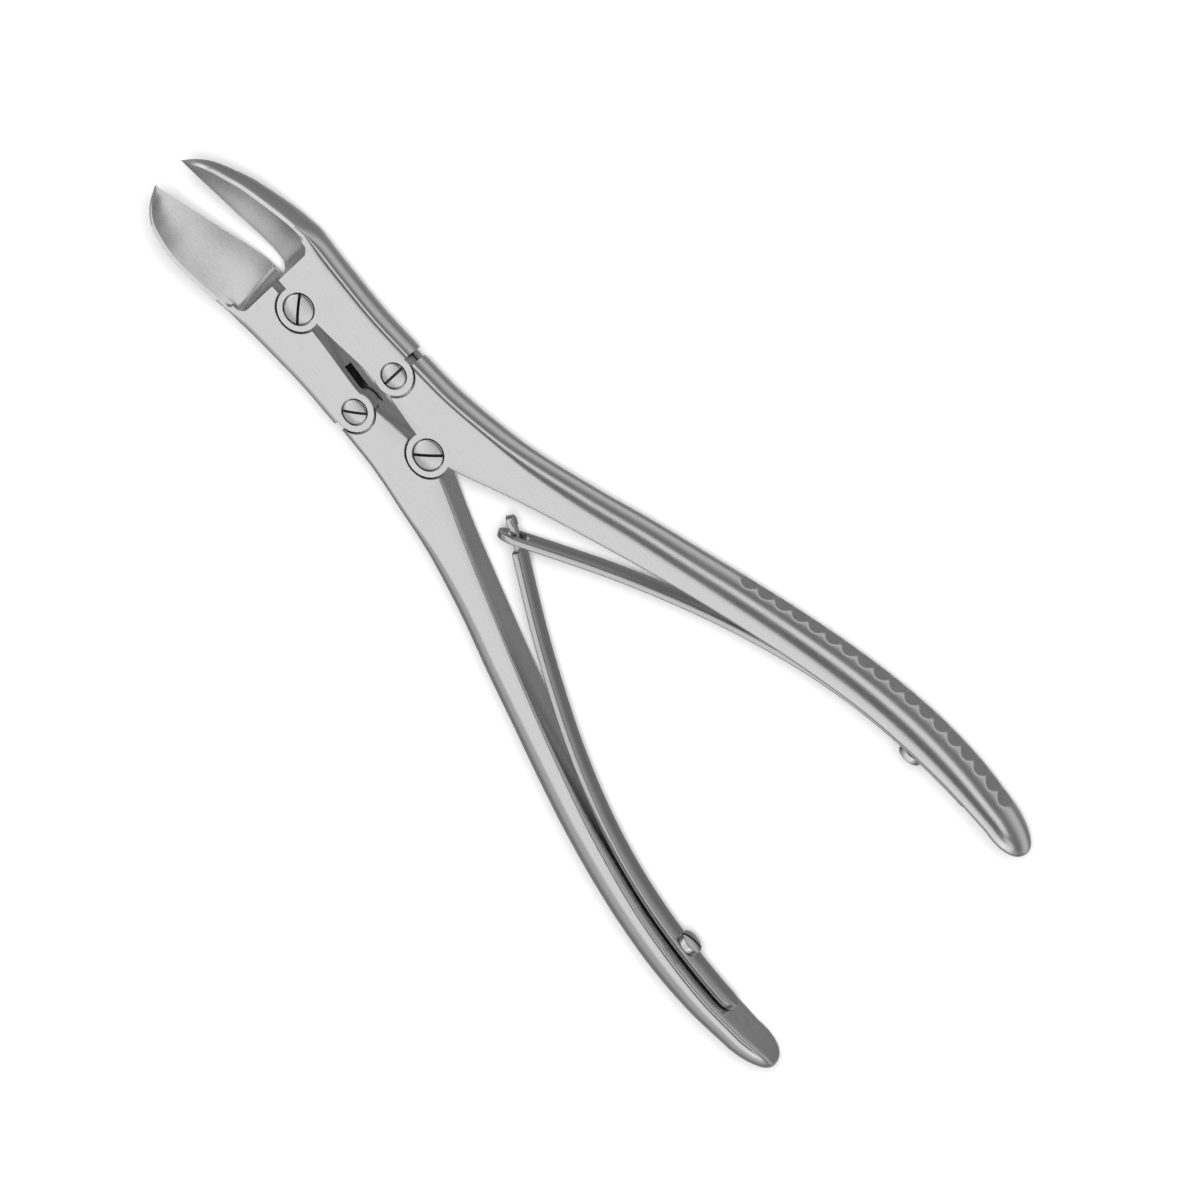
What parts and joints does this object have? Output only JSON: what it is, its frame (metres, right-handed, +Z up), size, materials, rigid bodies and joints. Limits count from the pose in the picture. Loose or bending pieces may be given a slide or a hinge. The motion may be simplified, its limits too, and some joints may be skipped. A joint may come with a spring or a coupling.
{
  "type": "compound cutting pliers",
  "caption": "Double-action cutting pliers: two curved chisel blades, four screw pivots, two bowed handles with filed grips and a pair of interlocking leaf springs.",
  "frame": {"origin": "bottom centre of the whole tool's box with the jaws open; the hub's own centre line runs 1.56 mm to the left of it", "axes": "+X parallel to the hub's centre line, towards the blade tips, +Y towards the left handle, +Z up, out of the face with the slotted screw heads"},
  "size_m": [0.1912, 0.076, 0.0138],
  "materials": {
    "jaw_steel": "satin ground stainless steel",
    "handle_steel": "satin ground stainless steel",
    "spring_steel": "hardened spring steel, polished along its length",
    "screw_steel": "polished stainless steel screw head"
  },
  "bodies": {
    "left_handle": {"left_handle": "handle_steel", "handle_pivot_screw": "screw_steel", "left_spring_screw": "screw_steel"},
    "right_handle": {"right_handle": "handle_steel", "right_spring_screw": "screw_steel"},
    "left_jaw": {"left_jaw": "jaw_steel", "left_link_screw": "screw_steel", "jaw_pivot_screw": "screw_steel"},
    "right_jaw": {"right_jaw": "jaw_steel", "right_link_screw": "screw_steel"},
    "left_spring": {"left_spring": "spring_steel"},
    "right_spring": {"right_spring": "spring_steel"}
  },
  "joints": [
    {"name": "handle_squeeze", "type": "hinge", "parent": "left_handle", "child": "right_handle", "pos_m": [0.02745, 0.00156, 0.0056], "axis": [0, 0, -1], "range_deg": [0, 16.55], "stiffness_Nm_per_rad": 2.6, "springref_deg": -3.44},
    {"name": "left_link", "type": "hinge", "parent": "left_handle", "child": "left_jaw", "pos_m": [0.04195, 0.00691, 0.0056], "axis": [0, 0, -1], "range_deg": [0, 14.13]},
    {"name": "jaw_pivot", "type": "hinge", "parent": "left_jaw", "child": "right_jaw", "pos_m": [0.06215, 0.00156, 0.0056], "axis": [0, 0, 1], "range_deg": [0, 11.71]},
    {"name": "left_leaf_flex", "type": "hinge", "parent": "left_handle", "child": "left_spring", "pos_m": [-0.03085, 0.02106, 0.0056], "axis": [0, 0, 1], "range_deg": [0, 4.5], "deforming": ["left_spring"]},
    {"name": "right_leaf_flex", "type": "hinge", "parent": "right_handle", "child": "right_spring", "pos_m": [-0.03085, -0.01994, 0.0056], "axis": [0, 0, -1], "range_deg": [0, 4.5], "deforming": ["right_spring"]}
  ],
  "couplings": [
    {"joint": "left_link", "follows": "handle_squeeze", "ratio": 0.8535},
    {"joint": "jaw_pivot", "follows": "handle_squeeze", "ratio": 0.707},
    {"joint": "left_leaf_flex", "follows": "handle_squeeze", "ratio": 0.2665},
    {"joint": "right_leaf_flex", "follows": "handle_squeeze", "ratio": 0.2665}
  ]
}
